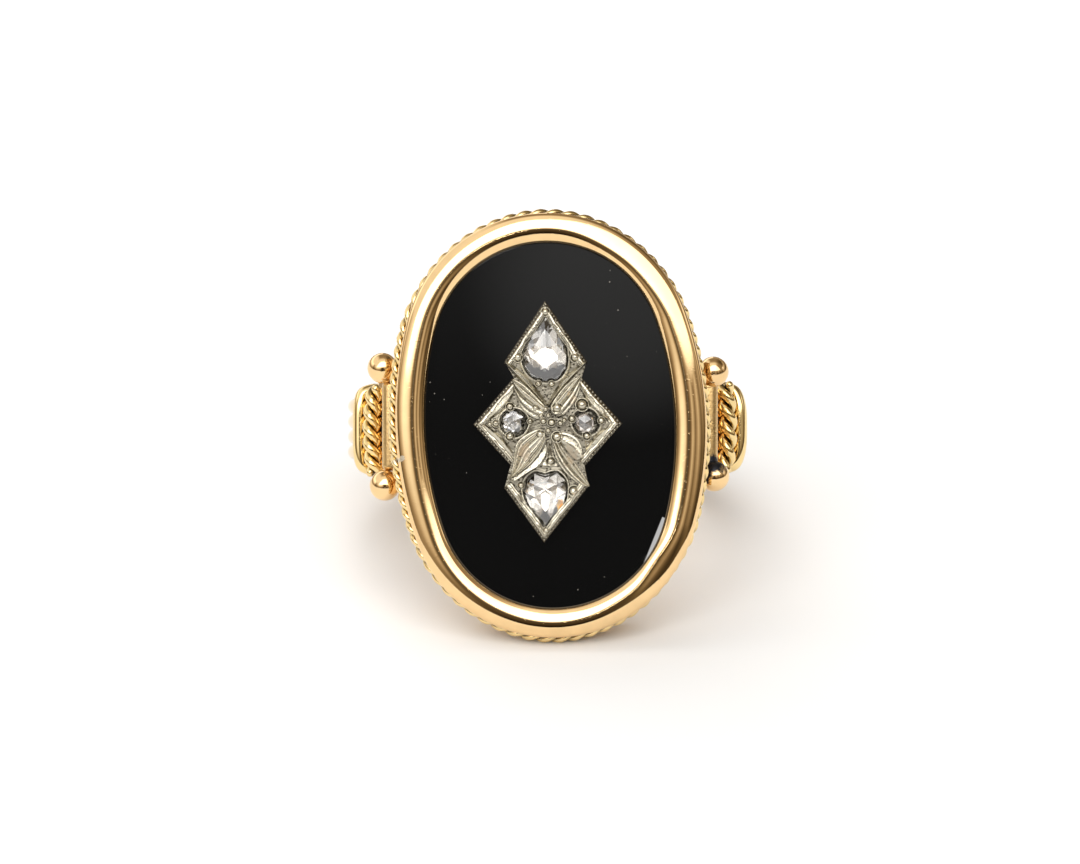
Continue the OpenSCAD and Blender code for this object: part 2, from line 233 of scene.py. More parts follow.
# Wear of a polished surface: a fine haze of rubbed places, and hair-thin scratches in two
# directions, as high and low streaks of stretched noise.
wear, wear_in, wear_out = node_group("PolishWear", {"Scale": 900.0, "Streaks": 0.35},
                                     ["Haze", "Height"])
wear_at = node(wear, "TexCoord").outputs["Object"]
haze = node(wear, "TexNoise", Vector=wear_at, Scale=wear_in.outputs["Scale"], Detail=4.0).outputs["Fac"]
streaks = []
for turn, seed in ((0.5, 3.0), (-0.9, 8.0)):
    across = node(wear, "Mapping", Vector=wear_at, Rotation=(0.4, turn, turn),
                  Scale=(seed * 500, seed * 3000, seed * 500))
    streak = node(wear, "TexNoise", Vector=across.outputs[0], Scale=1.0, Detail=2.0)
    streaks.append(span(wear, streak.outputs["Fac"], 0.66, 0.78))
streaks = joined(wear, "MULTIPLY", joined(wear, "ADD", *streaks), wear_in.outputs["Streaks"])
feed(wear, wear_out, Haze=haze, Height=joined(wear, "ADD", streaks, haze))

# A graver's and punch's marks on silver: small dents with dark bottoms among rough ground.
cuts, _, cuts_out = node_group("GraverMarks", {}, ["Pits", "Height"])
cuts_at = node(cuts, "TexCoord").outputs["Object"]
dents = node(cuts, "TexVoronoi", feature="F1", Vector=cuts_at, Scale=6500.0)
rubbed = node(cuts, "TexNoise", Vector=cuts_at, Scale=5200.0, Detail=4.0)
pits = span(cuts, dents.outputs["Distance"], 0.18, 0.42, 1.0, 0.0)
feed(cuts, cuts_out, Pits=pits, Height=joined(cuts, "SUBTRACT", rubbed.outputs["Fac"], pits))

# A stain: one inside an ellipsoid along the face's axes and none outside, with a ragged edge.
stain, stain_in, stain_out = node_group(
    "Stain", {"Middle": (0.0, 0.0, 0.0), "Radii": (1.0, 1.0, 1.0), "Ragged": 0.5}, ["Mask"])
stain_at = node(stain, "TexCoord").outputs["Object"]
away = node(stain, "VectorMath", operation="SUBTRACT", i0=stain_at, i1=stain_in.outputs["Middle"])
along = [node(stain, "VectorMath", operation="DOT_PRODUCT", i0=away.outputs[0], i1=tuple(axis))
         for axis in (SIDEWAYS, UP_FACE, OUTWARD)]
along = node(stain, "CombineXYZ", **{f"i{k}": dot.outputs["Value"] for k, dot in enumerate(along)})
along = node(stain, "VectorMath", operation="DIVIDE", i0=along.outputs[0], i1=stain_in.outputs["Radii"])
along = node(stain, "VectorMath", operation="LENGTH", i0=along.outputs[0]).outputs["Value"]
torn = node(stain, "TexNoise", Vector=stain_at, Scale=3500.0, Detail=4.0).outputs["Fac"]
torn = joined(stain, "MULTIPLY", span(stain, torn, 0.25, 0.75), stain_in.outputs["Ragged"])
torn = joined(stain, "ADD", torn, along)
feed(stain, stain_out, Mask=span(stain, torn, 0.8, 1.05, 1.0, 0.0))


def stained(tree, place, radii, ragged):
    """The mask of a stain whose middle and radii are given in the face's frame."""
    return node(tree, "Group", node_tree=stain, Middle=tuple(on_face(*place) * MM), Ragged=ragged,
                Radii=tuple(r * MM for r in radii)).outputs["Mask"]


def metal(name, bright, dark, smooth, rough, bump, marks=0.0, stains=()):
    """A polished metal: its colour sinks to a dark one in recesses, as painted shade and as
    tarnish, and a little in the haze, its roughness goes from smooth to rough with the haze,
    and the streaks give the bump. Where the recess is below zero, it is bright foil. Each stain
    has a place, radii, raggedness, a colour, its roughness, and how metallic it leaves the metal."""
    material, tree, shader = principled(name, Metallic=1.0)
    worn = node(tree, "Group", node_tree=wear)
    rubbed = worn.outputs["Haze"]
    recess = node(tree, "Attribute", attribute_name="recess").outputs["Fac"]
    relief = node(tree, "Bump", Height=worn.outputs["Height"], Distance=0.00002,
                  Strength=span(tree, recess, -0.5, 0.0, 0.0, bump))
    deep = joined(tree, "ADD", recess, span(tree, rubbed, 0.35, 0.75, 0.0, 0.12))
    shine = joined(tree, "MULTIPLY", span(tree, rubbed, 0.0, 1.0, smooth, rough),
                   span(tree, recess, -0.5, 0.0))
    if marks:
        cut = node(tree, "Group", node_tree=cuts)
        pits = joined(tree, "MULTIPLY", cut.outputs["Pits"], marks, span(tree, recess, 0.0, 0.35))
        deep = joined(tree, "ADD", deep, pits)
        relief = node(tree, "Bump", Height=cut.outputs["Height"], Distance=0.00003,
                      Strength=span(tree, recess, -0.5, 0.0, 0.0, marks), Normal=relief.outputs[0])
    # Darker with the recess: painted shade in creases and between parts, and tarnish.
    tone = blend(tree, span(tree, deep, 0.0, 1.0), bright, dark)
    tone = blend(tree, span(tree, recess, 0.0, -1.0), tone, (0.95, 0.94, 0.92))
    metallic = None
    for place, radii, ragged, colour, dull, left in stains:
        mask = stained(tree, place, radii, ragged)
        tone = blend(tree, mask, tone, colour)
        shine = node(tree, "Mix", i0=mask, i2=shine, i3=dull).outputs[0]
        metallic = node(tree, "Mix", i0=mask, i2=metallic or 1.0, i3=left).outputs[0]
    feed(tree, shader, Base_Color=tone, Roughness=shine, Normal=relief.outputs[0])
    if metallic:
        feed(tree, shader, Metallic=metallic)
    return material


GOLD_BRIGHT, GOLD_DARK = (0.94, 0.66, 0.34), (0.13, 0.09, 0.05)
SOLDER_SMEAR = ((-8.05, -1.85, 12.4), (1.1, 0.42, 1.3), 0.9, (0.66, 0.58, 0.45), 0.38, 0.85)
gold = metal("Polished gold", GOLD_BRIGHT, GOLD_DARK, 0.0, 0.045, 0.09, stains=[SOLDER_SMEAR])


def hump(angle, middle, width):
    """A bell over an angle in degrees, round the circle: e to minus the offset squared."""
    return np.exp(-(((np.degrees(angle) - middle + 180) % 360 - 180) / width) ** 2)


# The rim's profile is a flatter arc on its crest between two tighter ones. Pushing it over the
# onyx left it leaning in or out a little from place to place, and wider at the right.
CREST_R, CREST_TURN = 1.15, np.radians(33)
side_r = (RIM_R - CREST_R * np.sin(CREST_TURN)) / (1 - np.sin(CREST_TURN))
tilt = np.radians(np.linspace(-88, 88, 65))
on_crest = np.abs(tilt) < CREST_TURN
turned = np.sign(tilt) * (np.sin(np.abs(tilt)) - np.sin(CREST_TURN)) * side_r
rim_x = np.where(on_crest, CREST_R * np.sin(tilt), turned + np.sign(tilt) * CREST_R * np.sin(CREST_TURN))
rim_fall = np.where(on_crest, CREST_R * (1 - np.cos(tilt)),
                    CREST_R * (1 - np.cos(CREST_TURN)) + side_r * (np.cos(CREST_TURN) - np.cos(tilt)))
rim = np.stack([RIM_R + rim_x, RIM_Z + RIM_R - rim_fall], -1)
inner = eased([(POCKET_OUT, FLOOR_Z), (POCKET_OUT, RIM_Z), (0.0, RIM_Z), rim[0]], 0.04)
outer = eased([rim[-1], (2 * RIM_R, RIM_Z), (WALL_OUT, RIM_Z - 0.02), (WALL_OUT, BACK_Z + WALL_SLANT),
               (WALL_FOOT, BACK_Z), (0.2, BACK_Z)], 0.05)
profile = np.vstack([inner[:-1], rim, outer[1:]])
out, high = profile[:, :1], profile[:, 1:]
way = np.arange(360) / 360
_, _, normal = oval(way, 0)
lean = (-0.055 - 0.23 * hump(normal, 40, 22) - 0.12 * hump(normal, 64, 14) + 0.06 * hump(normal, 10, 8)
        + 0.07 * hump(normal, -90, 20) - 0.28 * hump(normal, -34, 14) - 0.09 * hump(normal, -60, 12)
        - 0.03 * hump(normal, 180, 20))
held = np.clip(1 - (out / RIM_R - 1) ** 2, 0, 1) * (high > RIM_Z + 0.1)
wider = 0.13 * hump(normal, 2, 22) * np.clip(out / RIM_R - 1, 0, 1) * (high > RIM_Z - 0.2)
x, y, _ = oval(way[None], out + lean * held + wider)
bezel = np.stack([x, y, np.broadcast_to(high, x.shape)], -1)
put("bezel_box", [shell(bezel)], gold, ["ring_mount"])

# The reeded hoop: a gold strip with four half-round ribs, bent round from one shoulder to
# the other. Its ribs lie on a circle set towards the face, so the back of the hoop is thin.
RIB_COUNT, RIB_PITCH, RIB_R = 4, 0.83, 0.43
HOOP_MIDDLE, HOOP_BACK, BAND_W = 0.95, 1.1, (RIB_COUNT - 0.15) * RIB_PITCH
HOOP_R = FINGER_R + HOOP_BACK + HOOP_MIDDLE - RIB_R
COLLAR_TURN = np.radians(66.9)


def round_hoop(turn, radius, across):
    """Points at an angle round the hoop from the middle of the face, at a distance from the
    hoop's own middle: sideways by the sine and outwards by the cosine, plus the shift."""
    x, z = radius * np.sin(turn), HOOP_MIDDLE + radius * np.cos(turn)
    return np.stack(np.broadcast_arrays(x, across, z), -1)


def finger_reach(turn):
    """How far the finger hole's wall lies from the hoop's middle, by the law of cosines."""
    shift = HOOP_MIDDLE * np.cos(turn)
    return np.sqrt(FINGER_R ** 2 - HOOP_MIDDLE ** 2 + shift ** 2) - shift


edge_turn = np.arcsin((BAND_W / 2 - (RIB_COUNT - 1) / 2 * RIB_PITCH) / RIB_R)
groove_turn = np.arcsin(RIB_PITCH / 2 / RIB_R)
ribs = []
for k in range(RIB_COUNT):
    low = -groove_turn if k else edge_turn - np.pi
    high = groove_turn if k < RIB_COUNT - 1 else np.pi - edge_turn
    bow = np.linspace(low, high, 15)
    middle = (k - (RIB_COUNT - 1) / 2) * RIB_PITCH
    # The ribs' flanks in the grooves lie in a recess, which darkens them: painted shade between the ribs.
    deep = np.clip((np.abs(np.sin(bow)) - 0.72) / 0.2, 0, 1) * (np.cos(bow) > 0)
    ribs.append(np.stack([middle + RIB_R * np.sin(bow), HOOP_R + RIB_R * np.cos(bow), deep], -1))
ribs = np.vstack([ribs[0]] + [rib[1:] for rib in ribs[1:]])

# The strip's sides and inside: shares of the way out from the finger to the outermost ribs'
# edges, and of half the strip's width. The ribs lie lower towards the right shoulder.
fall, width = np.array([0.7, 0.45, 0.2, 0.06, 0, 0, 0]), np.array([1, 1, 1, 0.975, 0.93, 0.6, 0])
fall, width = np.append(fall, fall[-2::-1]), np.append(width, -width[-2::-1]) * BAND_W / 2
turn = np.linspace(COLLAR_TURN, 2 * np.pi - COLLAR_TURN, 220)[:, None]
lift = np.concatenate([np.ones(len(ribs)), fall])
far = np.concatenate([ribs[:, 1], np.full(len(fall), ribs[0, 1])])
across = np.concatenate([ribs[:, 0], width])
deep = np.concatenate([ribs[:, 2], np.zeros(len(fall))])
near = finger_reach(turn)
radius = near + (far - 0.36 * hump(turn, 88, 26) - near) * lift
hoop = np.dstack([round_hoop(turn, radius, across), np.broadcast_to(deep, radius.shape)])
put("reeded_hoop", [shell(hoop)], gold, ["ring_mount"])

# The shoulders, all of gold: a smooth neck under the bezel from one collar to the other, an
# upright on each side that carries the bezel's wall, pitted and sooty at the lower right, and a
# half-round collar where the hoop is soldered on. The right collar is the rounder one.
NECK_R, NECK_W, NECK_EDGE, NECK_TOP = FINGER_R + 1.43, 4.9, 0.15, BACK_Z + 0.2
turn = np.linspace(-COLLAR_TURN, COLLAR_TURN, 120)[:, None]
bow = np.linspace(0, np.pi / 2, 5)
flat = np.linspace(-1, 1, 25)[1:-1] * (NECK_W / 2 - NECK_EDGE)
across = np.concatenate([-NECK_W / 2 + NECK_EDGE * (1 - np.sin(bow)), flat,
                         NECK_W / 2 - NECK_EDGE * (1 - np.cos(bow))])
drop = NECK_EDGE * np.concatenate([1 - np.sin(bow), 0 * flat, 1 - np.cos(bow)])
top = np.minimum(np.sqrt(NECK_R ** 2 - across ** 2),
                 (NECK_TOP - HOOP_MIDDLE) / np.cos(turn)) - drop
near = finger_reach(turn)
sides = np.array([0.5, 0.1, 0.0, 0.0, 0.0, 0.1, 0.5])
inward = np.array([1, 1, 0.96, 0, -0.96, -1, -1]) * NECK_W / 2
radius = np.hstack([top, near + (top[:, :1] - near) * sides])
across = np.concatenate([across, inward])
neck = round_hoop(turn, radius, across)
put("neck", [shell(neck)], gold, ["ring_mount"])


def unit(vectors):
    """The same directions with the length one."""
    return vectors / np.linalg.norm(vectors, axis=-1, keepdims=True)


def slab(outline, thickness, edge):
    """A slab with rounded edges. Its loops are the outline moved inwards by the edge radius
    times one minus the cosine, while they rise through the thickness with the sine, and they
    do the same upside down in the lower half."""
    ahead = np.roll(outline, -1, 0) - np.roll(outline, 1, 0)
    inwards = unit(np.stack([-ahead[:, 1], ahead[:, 0]], -1))
    bow = np.linspace(0, np.pi / 2, 9)
    inset = edge * np.append(1 - np.cos(bow), 1.4)
    rise = np.append(thickness / 2 - edge * (1 - np.sin(bow)), thickness / 2)
    inset, rise = np.append(inset[::-1], inset), np.append(-rise[::-1], rise)
    flat = outline[None] + inwards[None] * inset[:, None, None]
    return np.dstack([flat, np.broadcast_to(rise[:, None], flat.shape[:2])])


def densely(outline, step):
    """A closed outline with points at every step along it, corners kept."""
    after = np.roll(outline, -1, 0)
    runs = [np.linspace(a, b, max(int(np.linalg.norm(b - a) / step), 1), endpoint=False)
            for a, b in zip(outline, after)]
    return np.vstack(runs)


COLLAR_R, COLLAR_W, COLLAR_T = 11.48, 5.0, 0.8
RISER_W, RISER_TOP = NECK_W - 0.1, RIM_Z - 1.7
crown = np.linspace(-1, 1, 61)
foot_r = float(finger_reach(COLLAR_TURN)) + 0.02
foot = np.array([(1, 10.1), (1, 9.9), (0.88, foot_r), (-0.88, foot_r), (-1, 9.9), (-1, 10.1)])
riser = eased([(7.9, 6.6), (8.87, 6.44), (9.0, RISER_TOP), (6.9, RISER_TOP), (6.2, 9.6), (6.2, 9.1)], 0.5)
riser = slab(densely(riser, 0.1), RISER_W, 0.3)

# The left collar sits a tenth of a millimetre lower than the right one.
collars, uprights = [], []
for side, crown_fall, crown_power in ((-1, 0.5, 4.2), (1, 0.64, 3.2)):
    crown_r = COLLAR_R - crown_fall * np.abs(crown) ** crown_power - 0.6 * np.abs(crown) ** 18
    outline = np.vstack([np.stack([crown, crown_r], -1), foot]) * [COLLAR_W / 2, 1]
    collar = slab(densely(outline[::-1], 0.1), COLLAR_T, 0.36)
    turned = COLLAR_TURN + np.radians(1.2)
    radial = np.array([side * np.sin(turned), 0, np.cos(turned)])
    along = np.array([np.cos(turned), 0, -side * np.sin(turned)])
    axes = np.array([[0, 1, 0], radial, along])
    collars.append(shell(collar @ axes + [0, 0.05 * side - 0.05, HOOP_MIDDLE]))
    upright = riser @ np.array([[side, 0, 0], [0, 0, 1], [0, 1, 0]])
    # Each upright lies in a recess of 0.3 all over, which darkens it: painted shade under the bezel,
    # together with tarnish.
    uprights.append(shell(np.dstack([upright, np.full(upright.shape[:2], 0.3)])))
SOOT = (0.012, 0.014, 0.022)
yellow_gold = metal("Yellow gold", (0.92, 0.70, 0.34), GOLD_DARK, 0.03, 0.14, 0.2, stains=[SOLDER_SMEAR])
put("collars", collars, yellow_gold, ["ring_mount"])
sooty = metal("Pitted gold", (0.86, 0.60, 0.27), (0.26, 0.15, 0.06), 0.16, 0.42, 0.9, marks=0.22,
              stains=[((8.8, -2.1, 10.7), (0.8, 0.8, 1.5), 0.5, SOOT, 0.35, 0.4)])
put("uprights", uprights, sooty, ["ring_mount"])

# Four gold balls, melted from wire ends and soldered beside the bezel, two to a shoulder. Soot
# of a repair lies on the lower right one.
BALL_R, BALL_Z = 0.82, ONYX_TOP - 1.85
BALLS = [(-8.95, 3.1), (-8.83, -3.18), (8.74, 2.9), (8.78, -2.68)]


def lathe(place, profile, turns=48):
    """A turned solid at a place. Its profile gives distance from the axis and height."""
    turn = np.arange(turns) / turns * 2 * np.pi
    profile = np.array(profile, float)
    points = [profile[:, :1] * np.cos(turn), profile[:, :1] * np.sin(turn),
              profile[:, 1:2] + 0 * turn]
    if profile.shape[1] == 3:
        points.append(profile[:, 2:] + 0 * turn)
    points = np.stack(points, -1)
    points[..., :3] += place
    return points


def dome(radius, height, steps=9, low=-1.0):
    """Half an egg's profile, from the share low of its height up to its top."""
    bow = np.linspace(np.arcsin(low), np.pi / 2 - 0.06, steps)
    return np.stack([radius * np.cos(bow), height * np.sin(bow)], -1)


ball = dome(BALL_R, BALL_R, 28, -0.998)
burnt = metal("Gold with soot", GOLD_BRIGHT, GOLD_DARK, 0.03, 0.16, 0.3,
              stains=[((8.75, -2.1, 11.0), (1.0, 0.72, 1.3), 0.6, SOOT, 0.3, 0.5),
                      ((8.3, -2.6, 11.0), (0.45, 0.75, 1.0), 0.6, SOOT, 0.3, 0.5)])
put("soldered_balls", [shell(lathe((*at, BALL_Z), ball)) for at in BALLS], burnt, ["ring_mount"])

# The twisted wires: two round gold wires twisted to the left. A thin one runs round the
# bezel under its rim, tucked in at the lower right, and a thick one crosses each shoulder.
# A wire has its strands' radius, its own over both strands, and its path beside its neighbours.
THIN_R, THIN_OVER, THIN_TWISTS = 0.17, 0.3, 40
THIN_OUT, THIN_Z = 2 * RIM_R + 0.27 - THIN_OVER, RIM_Z - 0.1 - THIN_OVER
THICK_R, THICK_OVER, THICK_LENGTH = 0.252, 0.495, 4.8
THICK_PATH_R = NECK_R + 0.01 + THICK_OVER
THICK_TURN = COLLAR_TURN - (COLLAR_T / 2 + 0.04 + THICK_OVER) / THICK_PATH_R


def twisted(path, out, side, twists, strand_r, over_r, closed):
    """Two strands round a path. A strand's middle is the path plus what its radius leaves of
    the whole, along a direction that turns from out to side, and its skin is a circle square
    to its own run. The skin that faces the other strand lies in a recess, darkened as painted
    shade between the strands. Ends are round."""
    share = np.linspace(0, 1, len(path), endpoint=not closed)
    strands = []
    for start in (0, np.pi):
        turn = (2 * np.pi * twists * share + start)[:, None]
        away = np.cos(turn) * out + np.sin(turn) * side
        middle = path + (over_r - strand_r) * away
        round_trip = np.roll(middle, -1, 0) - np.roll(middle, 1, 0)
        run = unit(round_trip if closed else np.gradient(middle, axis=0))
        beside = unit(np.cross(run, away))
        away = np.cross(beside, run)
        size = np.ones(len(path))
        if not closed:
            length = np.linalg.norm(np.diff(middle, axis=0), axis=1).sum()
            left = np.clip(np.minimum(share, 1 - share) * length / strand_r, 0.02, 1)
            size = np.sqrt(1 - (1 - left) ** 2)
        bow = np.arange(20) / 20 * 2 * np.pi
        skin = middle[:, None] + strand_r * size[:, None, None] * (
            np.cos(bow)[None, :, None] * away[:, None] + np.sin(bow)[None, :, None] * beside[:, None])
        # Painted shade: the skin that faces the other strand is darkened.
        deep = np.broadcast_to(np.clip((0.25 - np.cos(bow)) / 0.9, 0, 0.9), skin.shape[:2])
        strands.append(shell(np.dstack([skin, deep]), ring=closed))
    return strands


way = np.arange(THIN_TWISTS * 24) / (THIN_TWISTS * 24)
_, _, normal = oval(way, THIN_OUT)
tuck = (0.12 - 0.27 * hump(normal, 180, 22) - 0.1 * hump(normal, 90, 25)
        - 0.12 * hump(normal, -90, 20) + 0.1 * hump(normal, -35, 18) - 0.2 * hump(normal, 2, 20))
x, y, normal = oval(way, THIN_OUT - tuck)
path = np.stack([x, y, 0 * x + THIN_Z], -1)
out = np.stack([np.cos(normal), np.sin(normal), 0 * normal], -1)
thin = twisted(path, out, np.array([[0, 0, 1.0]]), THIN_TWISTS, THIN_R, THIN_OVER, True)
put("bezel_twisted_strands", thin, yellow_gold, ["bezel_twisted_wire"])

half = np.arcsin(THICK_LENGTH / 2 / THICK_PATH_R)
bow = np.linspace(-half, half, 180)[:, None]
for side, name, twists in ((-1, "left", 2.9), (1, "right", 2.55)):
    radial = np.array([[side * np.sin(THICK_TURN), 0, np.cos(THICK_TURN)]])
    along = np.array([[np.cos(THICK_TURN), 0, -side * np.sin(THICK_TURN)]])
    out = np.cos(bow) * radial + np.sin(bow) * [[0, 1, 0]]
    path = THICK_PATH_R * out + [[0, 0.08 * side - 0.08, HOOP_MIDDLE]]
    thick = twisted(path, out, -along, twists, THICK_R, THICK_OVER, False)
    put(f"shoulder_strands_{name}", thick, yellow_gold, [f"shoulder_twisted_wire_{name}"])

# The onyx: a flat, polished, dyed black plate in the bezel. Its CAD shape stays, and its
# finish has a few dust specks and hairlines from wear.
onyx, tree, shader = principled("Polished onyx", IOR=1.54)
at = node(tree, "TexCoord").outputs["Object"]
specks = node(tree, "TexVoronoi", feature="F1", Vector=at, Scale=1900.0)
spread = node(tree, "TexNoise", Vector=at, Scale=300.0, Detail=2.0)
size = span(tree, spread.outputs["Fac"], 0.42, 0.75, 0.0, 0.1)
speck = joined(tree, "LESS_THAN", specks.outputs["Distance"], size)
hair_at = node(tree, "Mapping", Vector=at, Rotation=(0.3, 0.5, 0.4), Scale=(260.0, 2600.0, 260.0))
hair = node(tree, "TexNoise", Vector=hair_at.outputs[0], Scale=1.0, Detail=1.0)
hair = span(tree, hair.outputs["Fac"], 0.77, 0.80, 0.0, 0.12)
tone = blend(tree, joined(tree, "ADD", speck, hair), (0.0012, 0.0012, 0.0012), (0.2, 0.19, 0.17))
worn = node(tree, "Group", node_tree=wear)
feed(tree, shader, Base_Color=tone, Roughness=span(tree, worn.outputs["Haze"], 0.45, 1.0, 0.0, 0.01))
plate = frame["nodes"]["onyx_plate"]
plate.data.materials.clear()
plate.data.materials.append(onyx)

# The silver plaque: three lozenges sawn from one plate, held by two posts through the onyx.
# The ground between the borders is cut down, with a foil cup in a pocket under each stone.
PLAQUE_Z = ONYX_TOP + GAP
GROUND_Z, POCKET_Z, CUP_OUT, CUP_DEPTH = PLAQUE_Z + 0.55, PLAQUE_Z + 0.32, 0.06, 0.31
POSTS, POST_R, POST_ENDS = [(-0.25, 2.9), (-0.2, -2.9)], 0.4, (10.04, 12.4)
SILVER_BRIGHT, SILVER_DARK, BROWNED = (0.60, 0.56, 0.455), (0.045, 0.037, 0.025), (0.50, 0.43, 0.33)
BROWN_PLACES = [((-1.35, -1.45, 13.1), (0.75, 1.0, 0.5)), ((1.2, -1.7, 13.1), (0.75, 1.1, 0.5)),
                ((1.2, 1.5, 13.1), (0.5, 0.8, 0.5))]
silver = metal("Engraved silver", SILVER_BRIGHT, SILVER_DARK, 0.15, 0.4, 0.6, marks=0.6)
cut_silver = metal("Bright cut silver", SILVER_BRIGHT, SILVER_DARK, 0.1, 0.34, 0.6, marks=0.35,
                   stains=[(place, radii, 1.0, BROWNED, 0.3, 1.0) for place, radii in BROWN_PLACES])

# The plaque's left and right edges, from the top down. A stone has a middle, an apex, a height,
# and its girdle's reach at twelve angles, leftwards from the top.
LEFT = np.array([(-0.27, 6.62), (-2.44, 3.35), (-1.95, 2.5), (-4.08, 0.03), (-2.14, -2.1),
                 (-2.45, -3.33), (-0.31, -6.25)])
RIGHT = np.array([(-0.27, 6.62), (1.98, 3.35), (1.72, 2.5), (3.84, 0.08), (1.88, -2.15),
                  (2.08, -3.22), (-0.31, -6.25)])
STONES = {
    "top": ((-0.3, 3.75), (-0.22, 4.1), 0.66,
            [2.02, 1.34, 1.08, 1.10, 1.21, 1.33, 1.40, 1.45, 1.31, 1.15, 1.19, 1.57]),
    "bottom": ((-0.25, -3.55), (-0.25, -3.45), 0.7,
               [0.86, 1.15, 1.17, 1.11, 1.08, 1.27, 1.84, 1.36, 1.13, 1.10, 1.20, 1.20]),
    "left": ((-1.92, 0.12), (-1.98, 0.2), 0.6,
             [0.66, 0.68, 0.7, 0.68, 0.66, 0.68, 0.7, 0.68, 0.66, 0.69, 0.68, 0.67]),
    "right": ((1.9, 0.15), (1.86, 0.1), 0.6,
              [0.66, 0.64, 0.68, 0.66, 0.63, 0.66, 0.67, 0.65, 0.68, 0.66, 0.64, 0.65]),
}


def past_stone(x, y, stone):
    """How far a place lies outside a stone's girdle: its distance from the stone's middle
    less the girdle's reach at that angle, which is straight between the twelve."""
    (sx, sy), _, _, reach = stone
    turn = np.arctan2(sx - x, y - sy) % (2 * np.pi)
    reach = np.interp(turn, np.arange(13) * np.pi / 6, reach + reach[:1])
    return np.hypot(x - sx, y - sy) - reach


# The ground lies a little inside the plaque's edges, with a low lip rubbed up round each stone.
rows = np.linspace(LEFT[-1, 1] + 0.05, LEFT[0, 1] - 0.05, 250)
rows = np.sort(np.concatenate([rows, LEFT[1:-1, 1], RIGHT[1:-1, 1]]))
left = np.interp(rows, LEFT[::-1, 1], LEFT[::-1, 0]) + 0.04
right = np.interp(rows, RIGHT[::-1, 1], RIGHT[::-1, 0]) - 0.04
share = np.linspace(0, 1, 141)
x = left[:, None] + (right - left)[:, None] * share
y = np.broadcast_to(rows[:, None], x.shape)
z = np.full(x.shape, GROUND_Z)
deep = np.full(x.shape, 0.5)
for stone in STONES.values():
    past = past_stone(x, y, stone)
    lip = np.exp(-((past - 0.13) / 0.06) ** 2)
    z = z + 0.09 * lip
    z = np.where(past < CUP_OUT, POCKET_Z - CUP_DEPTH, z)
    deep = np.where(past < CUP_OUT, 1.0, deep - 0.45 * lip)
below = np.dstack([x[:, ::-6], y[:, ::-6], np.full(x[:, ::-6].shape, PLAQUE_Z),
                   np.zeros(x[:, ::-6].shape)])
ground = np.hstack([np.dstack([x, y, z, deep]), below])
posts = [shell(lathe((*at, 0), [(POST_R, z) for z in POST_ENDS], 24)) for at in POSTS]

# A cup's loops run up its outside and down its inside to the sloping foil. Each has its distance
# past the girdle, its height, its slope and its recess.
cups = []
for (sx, sy), _, _, reach in STONES.values():
    reach, turn = np.array(reach), np.arange(12) * np.pi / 6
    foil = -1.0 if max(reach) > 1 else 0.3 if sx < 0 else 0.7
    loops = []
    for grown, high, slope, deep in ((CUP_OUT, -CUP_DEPTH, 0, 1), (CUP_OUT, 0.14, 0, 0.6),
                                     (0.03, 0.14, 0, 0.6), (0.03, 0.04, 0, foil),
                                     (0.025, -0.14, 0.09, foil), (-0.3, -0.14, 0.09, foil)):
        up = (reach + grown) * np.cos(turn)
        loops.append(np.stack([sx - (reach + grown) * np.sin(turn), sy + up,
                               POCKET_Z + high - slope * up, np.full(12, deep)], -1))
    cups.append(shell(np.array(loops)))
put("plaque_ground", [shell(ground)] + cups + posts, silver, ["silver_plaque"])

# The borders of the lozenges: a bright flat between engraved lines, and a row of milgrain
# beads rolled along its outer edge, in a groove. Their profile gives the way inwards, the height
# and the recess. A border has its corners, the beads' spacing and their radius.
BEAD_IN, BEAD_Z = 0.09, 12.87
BORDER = np.array([(0.0, 12.31, 0), (0.0, 12.84, 0.3), (0.02, 12.88, 0.8), (0.13, 12.9, 0.8),
                   (0.16, 12.96, 0.4), (0.2, 13.0, 0), (0.3, 13.02, 0), (0.35, 12.99, 0.25),
                   (0.38, 12.96, 0.6), (0.42, 12.98, 0.1), (0.46, 12.95, 0.2), (0.49, 12.86, 0.7),
                   (0.51, 12.7, 1)])
BORDERS = [
    ([(1.98, 3.35), (-0.27, 6.62), (-2.44, 3.35)], 0.195, 0.066),
    ([(-1.95, 2.5), (-4.08, 0.03), (-2.14, -2.1)], 0.228, 0.088),
    ([(1.88, -2.15), (3.84, 0.08), (1.72, 2.5)], 0.228, 0.088),
    ([(-2.45, -3.33), (-0.31, -6.25), (2.08, -3.22)], 0.2, 0.075),
]


def mitred(corners, step):
    """A path of straight runs with points at every step, and at each point the direction
    inwards in which a parallel line keeps its distance, the mitre at a corner."""
    corners = np.array(corners, float)
    run = unit(np.diff(corners, axis=0))
    inwards = np.stack([-run[:, 1], run[:, 0]], -1)
    inner = inwards[:-1] + inwards[1:]
    inner /= 1 + (inwards[:-1] * inwards[1:]).sum(1, keepdims=True)
    inner = np.vstack([inwards[:1], inner, inwards[-1:]])
    length = np.linalg.norm(np.diff(corners, axis=0), axis=1)
    stops = np.concatenate([[0], np.cumsum(length)])
    places = np.unique(np.concatenate([np.arange(0, stops[-1], step), stops]))
    mix = [np.interp(places, stops, column) for column in np.hstack([corners, inner]).T]
    return np.stack(mix[:2], -1), np.stack(mix[2:], -1), places


